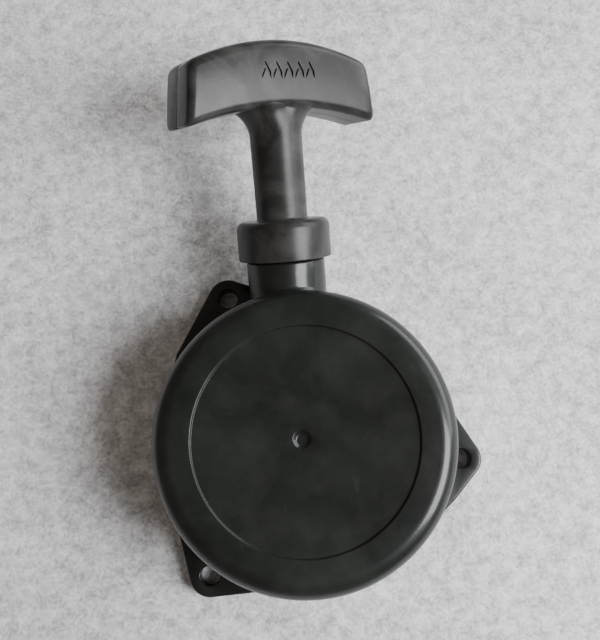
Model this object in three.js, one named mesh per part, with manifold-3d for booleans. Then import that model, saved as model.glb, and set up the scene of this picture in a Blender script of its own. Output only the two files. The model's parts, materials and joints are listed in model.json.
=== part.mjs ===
// Recoil starter for a small engine: a moulded case with three mounting ears and an inclined rope neck,
// a spring-loaded rope reel with two ratchet pawls, and a T-bar pull handle.
// Units are millimetres and +Z is up. The engine mounting face lies in z = 0, the drum axis is the
// Z axis, and the rope neck points towards +Y.

import * as THREE from 'three';
import { mergeVertices } from 'three/addons/utils/BufferGeometryUtils.js';
import Module from 'manifold-3d';

const wasm = await Module();
wasm.setup();

const RAD = Math.PI / 180;

// ---------------------------------------------------------------- driving dimensions

const CASE_HEIGHT = 41;
const CASE_BASE_RADIUS = 50;
const CASE_TOP_RADIUS = 49.6;
const SHOULDER_RADIUS = 6.6;
const WALL = 2.8;
const DISC_RADIUS = 36.3;
const DISC_DEPTH = 0.7;
const DIMPLE_RADIUS = 3;
const DIMPLE_DEPTH = 1;
const DIMPLE_OFFSET = -1.1;
const CEILING = CASE_HEIGHT - DISC_DEPTH - WALL;

const FLANGE_RADIUS = 52.4;
const FLANGE_THICKNESS = 6.3;
const EAR_TIP_RADIUS = 7.3;
const EAR_HOLE_RADIUS = 3.55;

// The three ears are not a regular triangle. Each has its bolt hole, and the corners of the side before it
// and of the side after it, going anticlockwise and from the flange out, all as [radius, bearing].
const EARS = [
  { hole: [57.2, -12.1], before: [[FLANGE_RADIUS, -52.3], [57.9, -27.1]], after: [[FLANGE_RADIUS, 16.9]] },
  { hole: [59.7, 112.2], before: [[FLANGE_RADIUS, 86.2]], after: [[FLANGE_RADIUS, 162.1], [56.6, 139.9]] },
  { hole: [56.7, 228.8], before: [[FLANGE_RADIUS, 202.3]], after: [[FLANGE_RADIUS, 252.4]] },
];

// The rope neck leaves the case through MOUTH, tilted up from the mounting face and turned towards +X.
const MOUTH = new THREE.Vector3(0, 64.2, 23.5);
const NECK_TILT = 20.7;
const NECK_YAW = 1.1;
const NECK_RADIUS = 13.75;
const NECK_BORE = 11.2;
const SEAT_GAP = 0.4;

const HANDLE_TWIST = 27.4;
const COLLAR_RADIUS = 16.3;
const COLLAR_HEIGHT = 13.5;
const COLLAR_ROUND = 3;
const STEM_RADIUS = 8.9;
const STEM_TOP_RADIUS = 9;
const STEM_FLARE = 10;
const STEM_FLARE_LOW = 41.3;
const BAR_LOW_WIDTH = 71.6;
const BAR_HIGH_WIDTH = 66.4;
const BAR_THICKNESS = 20.9;
const BAR_END_LOW = 44.9;
const BAR_ARCH = 50.7;
const BAR_END_HIGH = 65.2;
const BAR_TOP = 72.4;
const BAR_EDGE = 2.4;

const ROPE_RADIUS = 1.6;
const ROPE_BORE = 2.3;
const POCKET_FLOOR = 61;
const POCKET_RADIUS = 6.2;
const HANDLE_KNOT_RADIUS = 4.2;

// Eyelet bush in the mouth of the neck
const GUIDE_LENGTH = 13;
const GUIDE_FLARE = 3.4;
const GUIDE_HOLE = 2.6;
const GUIDE_SINK = 0.8;

// Rope reel and what turns on it. Levels are heights above the mounting face.
const POST_RADIUS = 5;
const POST_END = 6;
const SLEEVE_RADIUS = 6.5;
const SLEEVE_TOP = 28.4;
const REEL_BORE = 6.8;
const REEL_LOW = 13.9;
const REEL_HIGH = 27.2;
const REEL_RADIUS = 40;
const GROOVE_RADIUS = 23.5;
const GROOVE_LOW = 16.9;
const GROOVE_HIGH = 24.2;
const WINDING_RADIUS = 34;
const HUB_RADIUS = 9;
const HUB_TOP = 36.8;
const KNOT_ANGLE = 90;
const KNOT_PITCH = 17.6;
const REEL_KNOT_RADIUS = 3.2;
const RELIEF_ANGLES = [45, 135, 225, 270, 315];
const RELIEF_PITCH = 16.4;
const RELIEF_RADIUS = 3.6;

const CASSETTE_LOW = 30;
const CASSETTE_RADIUS = 36.5;
const SHEET = 0.8;
const CASSETTE_SCREW_RADIUS = 40.6;
const CASSETTE_SCREW_ANGLES = [30, 150, 270];
const SCREW_HEAD_RADIUS = 2.7;
const SCREW_SHANK_RADIUS = 1.2;
const SCREW_END = 35;
const LUG_HALF = 3.4;
const SPRING_TURNS = 7;
const SPRING_STRIP = 0.6;
const SPRING_HEIGHT = 6;

const PAWL_ANGLES = [0, 180];
const PAWL_PIVOT = 13;
const PAWL_LENGTH = 15;
const PAWL_LOW = 9.6;
const PAWL_HIGH = 13.3;
const PAWL_EYE_RADIUS = 3.6;
const PAWL_NUB_REACH = 5;
const PAWL_NUB_RADIUS = 1.2;
const PAWL_SWING = 34;
const GUIDE_TURN = 28;
const GUIDE_RADIUS = 19.5;
const GUIDE_LOW = 7.6;
const GUIDE_THICKNESS = 1.6;
const PIN_RADIUS = 2;

const GAP = 0.3;
const ROUND = 48;
const SMALL_ROUND = 20;

// ---------------------------------------------------------------- solids and booleans

// Shared vertices merged, collapsed triangles dropped, faces turned outwards.
function closedBody(geometry) {
  const bare = geometry.clone();
  for (const name of Object.keys(bare.attributes)) {
    if (name !== 'position') bare.deleteAttribute(name);
  }
  bare.clearGroups();
  const merged = mergeVertices(bare, 1e-4);
  const position = merged.attributes.position;
  const corner = (index) => new THREE.Vector3().fromBufferAttribute(position, index);
  const kept = [];
  let volume = 0;
  for (let i = 0; i < merged.index.count; i += 3) {
    const [a, b, c] = [0, 1, 2].map((k) => merged.index.getX(i + k));
    if (a === b || b === c || c === a) continue;
    kept.push([a, b, c]);
    volume += corner(a).dot(corner(b).cross(corner(c)));
  }
  const faces = volume < 0 ? kept.map(([a, b, c]) => [a, c, b]) : kept;
  merged.setIndex(faces.flat());
  return merged;
}

function toSolid(geometry) {
  const body = closedBody(geometry);
  return new wasm.Manifold(new wasm.Mesh({
    numProp: 3,
    vertProperties: new Float32Array(body.attributes.position.array),
    triVerts: new Uint32Array(body.index.array),
  }));
}

function toGeometry(solid) {
  const mesh = solid.getMesh();
  const geometry = new THREE.BufferGeometry();
  geometry.setAttribute('position', new THREE.BufferAttribute(mesh.vertProperties, 3));
  geometry.setIndex(new THREE.BufferAttribute(mesh.triVerts, 1));
  return geometry;
}

// Everything in "add" joined, then everything in "cut" taken away.
function combine(add, cut = []) {
  let solid = toSolid(add[0]);
  for (const piece of add.slice(1)) solid = solid.add(toSolid(piece));
  for (const piece of cut) solid = solid.subtract(toSolid(piece));
  return toGeometry(solid);
}

function common(first, second) {
  return toGeometry(toSolid(first).intersect(toSolid(second)));
}

const points = (pairs) => pairs.map(([x, y]) => new THREE.Vector2(x, y));

// Points along an arc, angles in degrees.
function arc(x, y, radius, from, to, steps = 5) {
  return Array.from({ length: steps + 1 }, (_, i) => {
    const angle = (from + ((to - from) * i) / steps) * RAD;
    return [x + radius * Math.cos(angle), y + radius * Math.sin(angle)];
  });
}

// A profile of [radius, height] pairs turned about +Y.
const turnedY = (profile, segments = ROUND) => new THREE.LatheGeometry(points(profile), segments);

// The same turned about +Z.
const turned = (profile, segments = ROUND) => turnedY(profile, segments).rotateX(Math.PI / 2);

function ring(inner, outer, low, high, segments = ROUND) {
  return turned([[inner, low], [outer, low], [outer, high], [inner, high], [inner, low]], segments);
}

function rod(radius, low, high, segments = SMALL_ROUND) {
  return turned([[0, low], [radius, low], [radius, high], [0, high]], segments);
}

// A flat outline in XY raised from one level to another.
function raised(shape, low, high, curveSegments = 8) {
  const plate = new THREE.ExtrudeGeometry(shape, { depth: high - low, bevelEnabled: false, curveSegments });
  return plate.translate(0, 0, low);
}

// Wire or rope of round section along a curve.
function wire(curve, radius, steps, sides = 8) {
  const section = new THREE.Shape(points(arc(0, 0, radius, 0, 360 - 360 / sides, sides - 1)));
  return new THREE.ExtrudeGeometry(section, { steps, bevelEnabled: false, extrudePath: curve });
}

const at = (radius, angle, height = 0) =>
  new THREE.Vector3(radius * Math.cos(angle * RAD), radius * Math.sin(angle * RAD), height);

const moved = (geometry, place) => geometry.clone().translate(place.x, place.y, place.z);

// ---------------------------------------------------------------- the neck frame

// Local +Y runs out along the rope, local +X stays level, local +Z faces up and back.
const ropeAxis = new THREE.Vector3(
  Math.sin(NECK_YAW * RAD) * Math.cos(NECK_TILT * RAD),
  Math.cos(NECK_YAW * RAD) * Math.cos(NECK_TILT * RAD),
  Math.sin(NECK_TILT * RAD),
);
const levelAxis = new THREE.Vector3().crossVectors(ropeAxis, new THREE.Vector3(0, 0, 1)).normalize();
const faceAxis = new THREE.Vector3().crossVectors(levelAxis, ropeAxis);
const neckMatrix = new THREE.Matrix4().makeBasis(levelAxis, ropeAxis, faceAxis).setPosition(MOUTH);

const alongRope = (distance) => MOUTH.clone().addScaledVector(ropeAxis, distance);
const inNeck = (geometry) => geometry.clone().applyMatrix4(neckMatrix);

// ---------------------------------------------------------------- case

function caseShell() {
  const top = CASE_HEIGHT;
  const disc = CASE_HEIGHT - DISC_DEPTH;
  const outer = turned([
    [0, disc],
    [DISC_RADIUS, disc],
    [DISC_RADIUS + 0.4, top],
    ...arc(CASE_TOP_RADIUS - SHOULDER_RADIUS, top - SHOULDER_RADIUS, SHOULDER_RADIUS, 90, 0, 6),
    [CASE_BASE_RADIUS, 0],
    [0, 0],
  ]);
  const dimple = turned([
    [0, disc - DIMPLE_DEPTH],
    [DIMPLE_RADIUS * 0.6, disc - DIMPLE_DEPTH * 0.8],
    [DIMPLE_RADIUS, disc],
    [DIMPLE_RADIUS, disc + 1],
    [0, disc + 1],
  ], SMALL_ROUND).translate(DIMPLE_OFFSET, 0, 0);
  const flange = rod(FLANGE_RADIUS, 0, FLANGE_THICKNESS, ROUND);
  const ears = EARS.map((ear) => raised(earShape(ear), 0, FLANGE_THICKNESS));
  const neck = inNeck(turnedY([
    [0, -30],
    [NECK_RADIUS, -30],
    [NECK_RADIUS, -SEAT_GAP - 0.8],
    [NECK_RADIUS - 0.8, -SEAT_GAP],
    [0, -SEAT_GAP],
  ]));
  const cavityRound = SHOULDER_RADIUS - WALL;
  const cavity = turned([
    [0, -1],
    [CASE_BASE_RADIUS - WALL, -1],
    ...arc(CASE_TOP_RADIUS - SHOULDER_RADIUS, CEILING - cavityRound, cavityRound, 0, 90, 3),
    [0, CEILING],
  ]);
  const holes = EARS.map(({ hole }) => moved(rod(EAR_HOLE_RADIUS, -1, FLANGE_THICKNESS + 1), at(...hole)));
  const bore = inNeck(turnedY([[0, -28], [NECK_BORE, -28], [NECK_BORE, 1], [0, 1]]));
  return combine([outer, flange, ...ears, neck], [dimple, cavity, ...holes, bore]);
}

// Tip circle about the hole, with a straight side from the last corner on each hand tangent to it.
function earShape({ hole, before, after }) {
  const centre = at(...hole);
  const tangent = (corner, hand) => {
    const away = at(...corner).sub(centre);
    return Math.atan2(away.y, away.x) + hand * Math.acos(EAR_TIP_RADIUS / away.length());
  };
  const start = tangent(before.at(-1), 1);
  const end = tangent(after.at(-1), -1);
  const tipStart = [
    centre.x + EAR_TIP_RADIUS * Math.cos(start),
    centre.y + EAR_TIP_RADIUS * Math.sin(start),
  ];
  const shape = new THREE.Shape();
  const [first, ...rest] = before.map((corner) => at(...corner));
  shape.moveTo(first.x, first.y);
  for (const corner of rest) shape.lineTo(corner.x, corner.y);
  shape.lineTo(...tipStart);
  shape.absarc(centre.x, centre.y, EAR_TIP_RADIUS, start, end, false);
  for (const corner of after.toReversed().map((place) => at(...place))) shape.lineTo(corner.x, corner.y);
  shape.closePath();
  return shape;
}

function starterCase() {
  const post = rod(POST_RADIUS, POST_END, CEILING + 1, 24);
  const locatingRing = ring(CASSETTE_RADIUS + 0.5, CASSETTE_RADIUS + 1.9, CEILING - 3.6, CEILING + 1);
  const bosses = CASSETTE_SCREW_ANGLES.map((angle) =>
    moved(rod(3, CASSETTE_LOW + SHEET + GAP, CEILING + 1, 16), at(CASSETTE_SCREW_RADIUS, angle)));
  const pilot = rod(2.8, POST_END - 1, 27);
  const bossPilots = CASSETTE_SCREW_ANGLES.map((angle) =>
    moved(rod(1.5, CASSETTE_LOW, CEILING - 1.2, 12), at(CASSETTE_SCREW_RADIUS, angle)));
  return combine([caseShell(), post, locatingRing, ...bosses], [pilot, ...bossPilots]);
}

// Eyelet bush pressed into the mouth of the neck, flared at both ends for the rope.
function ropeGuide() {
  const high = -SEAT_GAP - GUIDE_SINK;
  const low = high - GUIDE_LENGTH;
  const radius = NECK_BORE - GAP;
  return turnedY([
    [radius, low],
    [radius, high],
    ...arc(GUIDE_HOLE + GUIDE_FLARE, high - GUIDE_FLARE, GUIDE_FLARE, 90, 180, 4),
    ...arc(GUIDE_HOLE + GUIDE_FLARE, low + GUIDE_FLARE, GUIDE_FLARE, 180, 270, 4),
    [radius, low],
  ], 32);
}

// ---------------------------------------------------------------- recoil spring and its cassette

function springCassette() {
  const high = CEILING - 0.4;
  const pan = turned([
    [HUB_RADIUS + 1.6, CASSETTE_LOW],
    [CASSETTE_RADIUS, CASSETTE_LOW],
    [CASSETTE_RADIUS, high],
    [CASSETTE_RADIUS - SHEET, high],
    [CASSETTE_RADIUS - SHEET, CASSETTE_LOW + SHEET],
    [HUB_RADIUS + 1.6, CASSETTE_LOW + SHEET],
    [HUB_RADIUS + 1.6, CASSETTE_LOW],
  ]);
  const lug = new THREE.Shape();
  lug.moveTo(CASSETTE_RADIUS - 2, -LUG_HALF);
  lug.lineTo(CASSETTE_SCREW_RADIUS, -LUG_HALF);
  lug.absarc(CASSETTE_SCREW_RADIUS, 0, LUG_HALF, -90 * RAD, 90 * RAD, false);
  lug.lineTo(CASSETTE_RADIUS - 2, LUG_HALF);
  lug.closePath();
  const lugs = CASSETTE_SCREW_ANGLES.map((angle) =>
    raised(lug, CASSETTE_LOW, CASSETTE_LOW + SHEET, 6).rotateZ(angle * RAD));
  const holes = CASSETTE_SCREW_ANGLES.map((angle) =>
    moved(rod(1.6, CASSETTE_LOW - 1, CASSETTE_LOW + 1.5, 12), at(CASSETTE_SCREW_RADIUS, angle)));
  return combine([pan, ...lugs], holes);
}

function cassetteScrew(angle) {
  const seat = CASSETTE_LOW - GAP;
  const screw = turned([
    [0, seat - 1.5],
    [SCREW_HEAD_RADIUS - 0.8, seat - 1.5],
    [SCREW_HEAD_RADIUS, seat - 0.8],
    [SCREW_HEAD_RADIUS, seat],
    [SCREW_SHANK_RADIUS, seat],
    [SCREW_SHANK_RADIUS, SCREW_END],
    [0, SCREW_END],
  ], 16);
  return moved(screw, at(CASSETTE_SCREW_RADIUS, angle));
}

// Flat strip wound in an Archimedean spiral, its inner end bent into the hub's slot.
function recoilSpring() {
  const innerRadius = HUB_RADIUS + 1;
  const outerRadius = CASSETTE_RADIUS - SHEET - 1.3;
  const steps = SPRING_TURNS * 20;
  const spiral = (side) => Array.from({ length: steps + 1 }, (_, i) => {
    const share = i / steps;
    const place = at(innerRadius + (outerRadius - innerRadius) * share + side, 360 * SPRING_TURNS * share);
    return [place.x, place.y];
  });
  const half = SPRING_STRIP / 2;
  const hookEnd = HUB_RADIUS - 1.3;
  const hook = [[innerRadius + half, -half], [hookEnd, -half], [hookEnd, half], [innerRadius - half, half]];
  const outline = [...spiral(half).slice(1).reverse(), ...hook, ...spiral(-half).slice(2)];
  const low = CASSETTE_LOW + SHEET + GAP;
  return raised(new THREE.Shape(points(outline)), low, low + SPRING_HEIGHT - 0.2);
}

// ---------------------------------------------------------------- post hardware

const postSleeve = () => ring(POST_RADIUS + GAP, SLEEVE_RADIUS, POST_END - 0.4, SLEEVE_TOP, 32);

function thrustWasher() {
  return ring(2.8, 10, 4.3, POST_END - 0.4 - GAP, 32);
}

// Hexagon head with a flange, and a shank up into the post.
function centreScrew() {
  const head = turned([[0, 0.5], [4.4, 0.5], [4.4, 3.2], [0, 3.2]], 6);
  const flange = rod(5.6, 2.9, 4, 24);
  const shank = rod(2.5, 3.5, 25);
  return combine([head, flange, shank]);
}

function frictionSpring() {
  const turns = 1.7;
  const low = POST_END + 0.15;
  const rise = 0.75;
  const helix = Array.from({ length: 25 }, (_, i) => at(8.4, (360 * turns * i) / 24, low + (rise * i) / 24));
  return wire(new THREE.CatmullRomCurve3(helix), 0.32, 34, 6);
}

// ---------------------------------------------------------------- reel

function ropeReel() {
  const wheel = turned([
    [REEL_BORE, REEL_LOW],
    [REEL_RADIUS - 3, REEL_LOW],
    [REEL_RADIUS, REEL_LOW + 0.8],
    [REEL_RADIUS, GROOVE_LOW - 1.2],
    [GROOVE_RADIUS, GROOVE_LOW],
    [GROOVE_RADIUS, GROOVE_HIGH],
    [REEL_RADIUS, GROOVE_HIGH + 1.2],
    [REEL_RADIUS, REEL_HIGH],
    [HUB_RADIUS, REEL_HIGH],
    [HUB_RADIUS, HUB_TOP],
    [REEL_BORE, HUB_TOP],
    [REEL_BORE, REEL_LOW],
  ]);
  const springPocket = rod(4.3, REEL_LOW - 1, 17);
  const springPockets = PAWL_ANGLES.map((angle) => moved(springPocket, at(PAWL_PIVOT, angle)));
  const pinBore = rod(PIN_RADIUS + GAP, REEL_LOW, 20.6, 16);
  const pinBores = PAWL_ANGLES.map((angle) => moved(pinBore, at(PAWL_PIVOT, angle)));
  const knotPocket = moved(rod(REEL_KNOT_RADIUS + 1, REEL_LOW - 1, 21), at(KNOT_PITCH, KNOT_ANGLE));
  const ropeHole = rod(2, KNOT_PITCH, GROOVE_RADIUS + 1, 12).rotateX(-Math.PI / 2).translate(0, 0, 19);
  const relief = rod(RELIEF_RADIUS, REEL_LOW - 1, GROOVE_HIGH - 0.2, 16);
  const reliefs = RELIEF_ANGLES.map((angle) => moved(relief, at(RELIEF_PITCH, angle)));
  const hookSlot = new THREE.BoxGeometry(4, 1.6, 8).translate(HUB_RADIUS + 0.3, 0, HUB_TOP - 2);
  return combine([wheel], [...springPockets, ...pinBores, knotPocket, ropeHole, ...reliefs, hookSlot]);
}

function ropeWinding() {
  const inner = GROOVE_RADIUS + GAP;
  const low = GROOVE_LOW + 0.5;
  const high = GROOVE_HIGH - 0.5;
  return turned([
    [inner, low],
    [WINDING_RADIUS - 1, low],
    [WINDING_RADIUS, low + 1],
    [WINDING_RADIUS, high - 1],
    [WINDING_RADIUS - 1, high],
    [inner, high],
    [inner, low],
  ]);
}

const knot = (radius) => new THREE.SphereGeometry(radius, 14, 10);
const reelKnot = () => moved(knot(REEL_KNOT_RADIUS), at(KNOT_PITCH, KNOT_ANGLE, REEL_LOW + 3.6));
const pawlPin = (angle) => moved(rod(PIN_RADIUS, PAWL_LOW + 0.1, 20.2, 16), at(PAWL_PIVOT, angle));

// Torsion spring round the pin, in its pocket in the reel.
function pawlSpring(angle) {
  const turns = 2.5;
  const coil = Array.from({ length: 31 }, (_, i) => at(3.1, (360 * turns * i) / 30, 14.5 + (1.7 * i) / 30));
  const spring = wire(new THREE.CatmullRomCurve3(coil), 0.3, 40, 6);
  return moved(spring, at(PAWL_PIVOT, angle));
}

// ---------------------------------------------------------------- pawls and ratchet guide

// A pawl trails its pivot at the origin and points along -Y, with a nub that rides in the guide.
function pawlAtPivot() {
  const body = new THREE.Shape();
  body.moveTo(PAWL_EYE_RADIUS, 0);
  body.absarc(0, 0, PAWL_EYE_RADIUS, 0, Math.PI, false);
  body.lineTo(-2.2, -PAWL_LENGTH * 0.62);
  body.lineTo(0.6, -PAWL_LENGTH);
  body.lineTo(2.8, -PAWL_LENGTH);
  body.closePath();
  const lever = raised(body, PAWL_LOW, PAWL_HIGH, 6);
  const nub = rod(PAWL_NUB_RADIUS, GUIDE_LOW - 0.2, PAWL_LOW + 1, 12).translate(0.5, -PAWL_NUB_REACH, 0);
  return combine([lever, nub], [rod(PIN_RADIUS + GAP, PAWL_LOW - 1, PAWL_HIGH + 1, 16)]);
}

const pawl = (angle) => pawlAtPivot().translate(PAWL_PIVOT, 0, 0).rotateZ(angle * RAD);

// Where a pawl's nub stands in the guide's frame, from closed (0) to fully out (1).
function nubTrack(share) {
  const axis = new THREE.Vector2();
  const place = new THREE.Vector2(0.5, -PAWL_NUB_REACH).rotateAround(axis, share * PAWL_SWING * RAD);
  place.x += PAWL_PIVOT;
  return place.rotateAround(axis, -share * GUIDE_TURN * RAD);
}

// Bite in the guide's rim: its inner edge is the cam that lifts the nub, and it is open outwards.
function guideBite() {
  const room = PAWL_NUB_RADIUS + 0.45;
  const cam = Array.from({ length: 9 }, (_, i) => {
    const nub = nubTrack(i / 8);
    const inwards = nub.length() - room;
    return nub.setLength(inwards);
  });
  const start = nubTrack(0);
  const end = nubTrack(1);
  const spread = room / GUIDE_RADIUS;
  const first = start.angle() + spread * 1.25;
  const last = end.angle() - spread * 1.15;
  const edge = (angle, radius) => new THREE.Vector2(radius * Math.cos(angle), radius * Math.sin(angle));
  const outline = [
    edge(first, GUIDE_RADIUS + 2),
    edge(first, start.length() - room),
    ...cam,
    edge(last, end.length() - room),
    edge(last, GUIDE_RADIUS + 2),
  ];
  return raised(new THREE.Shape(outline), GUIDE_LOW - 1, GUIDE_LOW + GUIDE_THICKNESS + 1);
}

function ratchetGuide() {
  const disc = rod(GUIDE_RADIUS, GUIDE_LOW, GUIDE_LOW + GUIDE_THICKNESS, 40);
  const hub = rod(HUB_RADIUS, GUIDE_LOW, REEL_LOW - GAP - 0.1, 32);
  const bites = PAWL_ANGLES.map((angle) => guideBite().rotateZ(angle * RAD));
  return combine([disc, hub], [rod(REEL_BORE, GUIDE_LOW - 1, REEL_LOW, 32), ...bites]);
}

// ---------------------------------------------------------------- rope and handle

// From the tangent point on the winding, round the guide's inner flare and out to the handle knot.
function ropeLead() {
  const leadRadius = WINDING_RADIUS + ROPE_RADIUS + GAP;
  const turnIn = alongRope(-17);
  const bearing = 90 + Math.acos(leadRadius / Math.hypot(turnIn.x, turnIn.y)) / RAD;
  const start = at(leadRadius, bearing, (GROOVE_LOW + GROOVE_HIGH) / 2);
  const route = [
    start,
    start.clone().lerp(turnIn, 0.4),
    start.clone().lerp(turnIn, 0.78),
    alongRope(-15.6).lerp(start, 0.02),
    alongRope(-11),
    ...[-4, 10, 30, 50, POCKET_FLOOR + 1.5].map(alongRope),
  ];
  return wire(new THREE.CatmullRomCurve3(route), ROPE_RADIUS, 48, 8);
}

function barShape() {
  const low = BAR_LOW_WIDTH / 2;
  const high = BAR_HIGH_WIDTH / 2;
  const shape = new THREE.Shape();
  shape.moveTo(-low, BAR_END_LOW);
  shape.quadraticCurveTo(0, 2 * BAR_ARCH - BAR_END_LOW, low, BAR_END_LOW);
  shape.lineTo(high, BAR_END_HIGH);
  shape.quadraticCurveTo(0, 2 * BAR_TOP - BAR_END_HIGH, -high, BAR_END_HIGH);
  shape.closePath();
  return shape;
}

// Collar, tapered stem and arched T-bar in one moulding, with the rope bore and the knot pocket.
function handleGrip() {
  const bar = new THREE.ExtrudeGeometry(barShape(), {
    depth: BAR_THICKNESS - 2 * BAR_EDGE,
    bevelThickness: BAR_EDGE,
    bevelSize: BAR_EDGE,
    bevelOffset: -BAR_EDGE,
    bevelSegments: 2,
    curveSegments: 14,
  }).translate(0, 0, -BAR_THICKNESS / 2 + BAR_EDGE);
  const stem = turnedY([
    [0, 0],
    [COLLAR_RADIUS, 0],
    ...arc(COLLAR_RADIUS - COLLAR_ROUND, COLLAR_HEIGHT - COLLAR_ROUND, COLLAR_ROUND, 0, 90, 4),
    [STEM_RADIUS + 0.8, COLLAR_HEIGHT],
    [STEM_RADIUS, COLLAR_HEIGHT + 0.8],
    [STEM_TOP_RADIUS, 42],
    [STEM_TOP_RADIUS, 60],
    [0, 60],
  ], 32);
  const flare = common(
    turnedY([
      [0, STEM_FLARE_LOW],
      ...arc(STEM_TOP_RADIUS + STEM_FLARE, STEM_FLARE_LOW, STEM_FLARE, 180, 95, 6),
      [0, STEM_FLARE_LOW + STEM_FLARE + 3],
    ], 32),
    new THREE.BoxGeometry(60, 40, BAR_THICKNESS - 2 * BAR_EDGE).translate(0, BAR_ARCH, 0),
  );
  const bore = turnedY([[0, -1], [ROPE_BORE, -1], [ROPE_BORE, POCKET_FLOOR + 1], [0, POCKET_FLOOR + 1]], 16);
  const pocket = turnedY([
    [0, POCKET_FLOOR],
    [POCKET_RADIUS, POCKET_FLOOR],
    [POCKET_RADIUS, 80],
    [0, 80],
  ], 24);
  return combine([bar, stem, flare], [bore, pocket]);
}

function knotWasher() {
  const radius = POCKET_RADIUS - 0.6;
  const low = POCKET_FLOOR + GAP;
  const high = low + 1.2;
  const inner = ROPE_BORE;
  return turnedY([[inner, low], [radius, low], [radius, high], [inner, high], [inner, low]], 24);
}

const handleKnot = () => knot(HANDLE_KNOT_RADIUS).translate(0, POCKET_FLOOR + 6.1, 0);

// ---------------------------------------------------------------- materials

const finish = (color, roughness, metalness) =>
  new THREE.MeshStandardMaterial({ color, roughness, metalness });
const CASE_NYLON = finish(0x2a2b29, 0.42, 0);
const HANDLE_NYLON = finish(0x3c3d3b, 0.36, 0);
const REEL_NYLON = finish(0x1c1c1e, 0.5, 0);
const GUIDE_ACETAL = finish(0xd9d6cb, 0.4, 0);
const ZINC = finish(0xb9bcc0, 0.35, 1);
const SPRING_STEEL = finish(0x55606e, 0.3, 1);
const ROPE = finish(0xd8d5cc, 0.85, 0);

// ---------------------------------------------------------------- assembly

const starter = new THREE.Group();
starter.name = 'recoil_starter';

function piece(name, geometry, material, parent = starter) {
  const mesh = new THREE.Mesh(closedBody(geometry), material);
  mesh.name = name;
  parent.add(mesh);
  return mesh;
}

piece('starter_case', starterCase(), CASE_NYLON);
piece('spring_cassette', springCassette(), ZINC);
CASSETTE_SCREW_ANGLES.forEach((angle, i) => piece(`cassette_screw_${i + 1}`, cassetteScrew(angle), ZINC));
piece('recoil_spring', recoilSpring(), SPRING_STEEL);
piece('post_sleeve', postSleeve(), ZINC);
piece('thrust_washer', thrustWasher(), ZINC);
piece('centre_screw', centreScrew(), ZINC);

piece('rope_reel', ropeReel(), REEL_NYLON);
piece('rope_winding', ropeWinding(), ROPE);
piece('reel_knot', reelKnot(), ROPE);
PAWL_ANGLES.forEach((angle, i) => {
  piece(`pawl_pin_${i + 1}`, pawlPin(angle), ZINC);
  piece(`pawl_spring_${i + 1}`, pawlSpring(angle), SPRING_STEEL);
  piece(`pawl_${i + 1}`, pawl(angle), ZINC);
});
piece('ratchet_guide', ratchetGuide(), GUIDE_ACETAL);
piece('friction_spring', frictionSpring(), SPRING_STEEL);
piece('rope_lead', ropeLead(), ROPE);

// What sits on the neck's own axis.
const neck = new THREE.Group();
neck.applyMatrix4(neckMatrix);
starter.add(neck);
piece('rope_guide', ropeGuide(), GUIDE_ACETAL, neck);
piece('knot_washer', knotWasher(), ZINC, neck);
piece('handle_knot', handleKnot(), ROPE, neck);

const handle = new THREE.Group();
handle.rotation.y = HANDLE_TWIST * RAD;
neck.add(handle);
piece('handle_grip', handleGrip(), HANDLE_NYLON, handle);

export default starter;
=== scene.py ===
"""Looks of the recoil starter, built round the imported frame.

Shapes are written in millimetres in the frame of the piece they belong to, and MM turns them into metres.
The drum frame is the shared frame: Z is the drum's axis, and 0 is the mounting face. The neck frame has
its Z along the rope, out of the case, and X level. The handle frame is the neck frame turned by the twist.
"""

import json
import math

import bmesh
import bpy
from mathutils import Matrix, Vector


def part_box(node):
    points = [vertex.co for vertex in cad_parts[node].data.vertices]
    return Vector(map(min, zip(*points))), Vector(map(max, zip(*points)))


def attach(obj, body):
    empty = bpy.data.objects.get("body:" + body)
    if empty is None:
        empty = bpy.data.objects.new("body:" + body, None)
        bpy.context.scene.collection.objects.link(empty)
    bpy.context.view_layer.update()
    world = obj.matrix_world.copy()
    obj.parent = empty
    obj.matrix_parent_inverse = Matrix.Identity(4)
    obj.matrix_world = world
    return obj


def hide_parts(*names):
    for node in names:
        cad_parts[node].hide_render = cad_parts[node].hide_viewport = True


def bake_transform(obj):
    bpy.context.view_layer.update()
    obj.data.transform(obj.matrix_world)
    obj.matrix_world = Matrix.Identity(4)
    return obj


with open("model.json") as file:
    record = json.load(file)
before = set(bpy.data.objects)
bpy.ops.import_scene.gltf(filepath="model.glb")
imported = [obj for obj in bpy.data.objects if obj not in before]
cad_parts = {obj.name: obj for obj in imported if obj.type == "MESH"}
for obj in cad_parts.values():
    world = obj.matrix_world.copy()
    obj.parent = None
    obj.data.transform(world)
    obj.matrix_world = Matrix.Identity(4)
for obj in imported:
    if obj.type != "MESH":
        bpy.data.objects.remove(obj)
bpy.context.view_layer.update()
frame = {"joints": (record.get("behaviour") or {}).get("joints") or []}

MM = 0.001
TAU = 2 * math.pi

# ------------ places and sizes from the frame

JOINTS = {joint["name"]: joint for joint in frame["joints"]}


def top_of(node):
    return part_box(node)[1].z / MM


CASE_HEIGHT = top_of("starter_case")
MOUTH = Vector(JOINTS["handle_twist"]["pos_m"])
ROPE_AXIS = Vector(JOINTS["handle_twist"]["axis"]).normalized()
LEVEL_AXIS = ROPE_AXIS.cross(Vector((0, 0, 1))).normalized()
NECK = Matrix((LEVEL_AXIS, ROPE_AXIS.cross(LEVEL_AXIS), ROPE_AXIS)).transposed().to_4x4()
NECK.translation = MOUTH
HANDLE_TWIST = math.radians(27.4)
HANDLE = NECK @ Matrix.Rotation(HANDLE_TWIST, 4, "Z")
DRUM = Matrix.Identity(4)

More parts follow.
